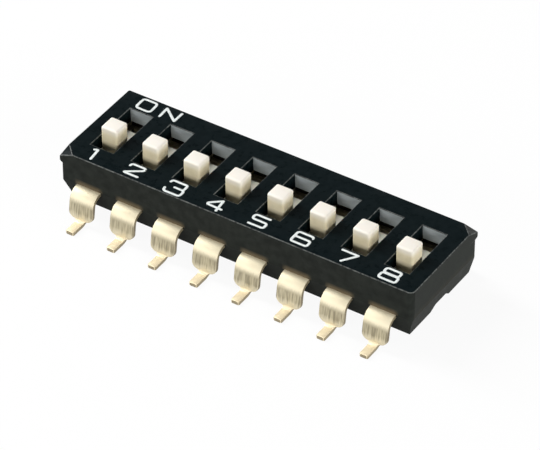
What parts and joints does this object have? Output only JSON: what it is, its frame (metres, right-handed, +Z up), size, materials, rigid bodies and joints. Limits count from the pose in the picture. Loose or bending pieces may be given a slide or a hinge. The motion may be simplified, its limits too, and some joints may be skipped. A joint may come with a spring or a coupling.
{
  "type": "dip switch",
  "caption": "Slide DIP switch in a black moulded housing, with a row of raised cream sliders on top and gold gull-wing terminals for surface mounting",
  "frame": {"origin": "centre of the solder plane, under the middle of the housing", "axes": "+X along the row from position 1 to the last position, +Y from the numbered side to the ON side, +Z up from the solder plane"},
  "size_m": [0.0212, 0.0098, 0.0044],
  "materials": {
    "cover_plastic": "moulded black, glossy top face and fine matt walls",
    "base_plastic": "moulded black, fine matt",
    "slider_plastic": "moulded cream, satin",
    "contact_metal": "gold-plated copper alloy spring strip",
    "terminal_metal": "pale gold plating with fine drawing marks on the plates"
  },
  "bodies": {
    "housing": {"cover": "cover_plastic", "base": "base_plastic", "front_terminal_1": "terminal_metal", "front_terminal_2": "terminal_metal", "front_terminal_3": "terminal_metal", "front_terminal_4": "terminal_metal", "front_terminal_5": "terminal_metal", "front_terminal_6": "terminal_metal", "front_terminal_7": "terminal_metal", "front_terminal_8": "terminal_metal", "rear_terminal_1": "terminal_metal", "rear_terminal_2": "terminal_metal", "rear_terminal_3": "terminal_metal", "rear_terminal_4": "terminal_metal", "rear_terminal_5": "terminal_metal", "rear_terminal_6": "terminal_metal", "rear_terminal_7": "terminal_metal", "rear_terminal_8": "terminal_metal"},
    "switch_1": {"slider_1": "slider_plastic", "contact_1": "contact_metal"},
    "switch_2": {"slider_2": "slider_plastic", "contact_2": "contact_metal"},
    "switch_3": {"slider_3": "slider_plastic", "contact_3": "contact_metal"},
    "switch_4": {"slider_4": "slider_plastic", "contact_4": "contact_metal"},
    "switch_5": {"slider_5": "slider_plastic", "contact_5": "contact_metal"},
    "switch_6": {"slider_6": "slider_plastic", "contact_6": "contact_metal"},
    "switch_7": {"slider_7": "slider_plastic", "contact_7": "contact_metal"},
    "switch_8": {"slider_8": "slider_plastic", "contact_8": "contact_metal"}
  },
  "joints": [
    {"name": "slide_1", "type": "slide", "parent": "housing", "child": "switch_1", "axis": [0, 1, 0], "range_m": [0, 0.00132]},
    {"name": "slide_2", "type": "slide", "parent": "housing", "child": "switch_2", "axis": [0, 1, 0], "range_m": [0, 0.00132]},
    {"name": "slide_3", "type": "slide", "parent": "housing", "child": "switch_3", "axis": [0, 1, 0], "range_m": [0, 0.00132]},
    {"name": "slide_4", "type": "slide", "parent": "housing", "child": "switch_4", "axis": [0, 1, 0], "range_m": [0, 0.00132]},
    {"name": "slide_5", "type": "slide", "parent": "housing", "child": "switch_5", "axis": [0, 1, 0], "range_m": [0, 0.00132]},
    {"name": "slide_6", "type": "slide", "parent": "housing", "child": "switch_6", "axis": [0, 1, 0], "range_m": [0, 0.00132]},
    {"name": "slide_7", "type": "slide", "parent": "housing", "child": "switch_7", "axis": [0, 1, 0], "range_m": [0, 0.00132]},
    {"name": "slide_8", "type": "slide", "parent": "housing", "child": "switch_8", "axis": [0, 1, 0], "range_m": [0, 0.00132]}
  ]
}
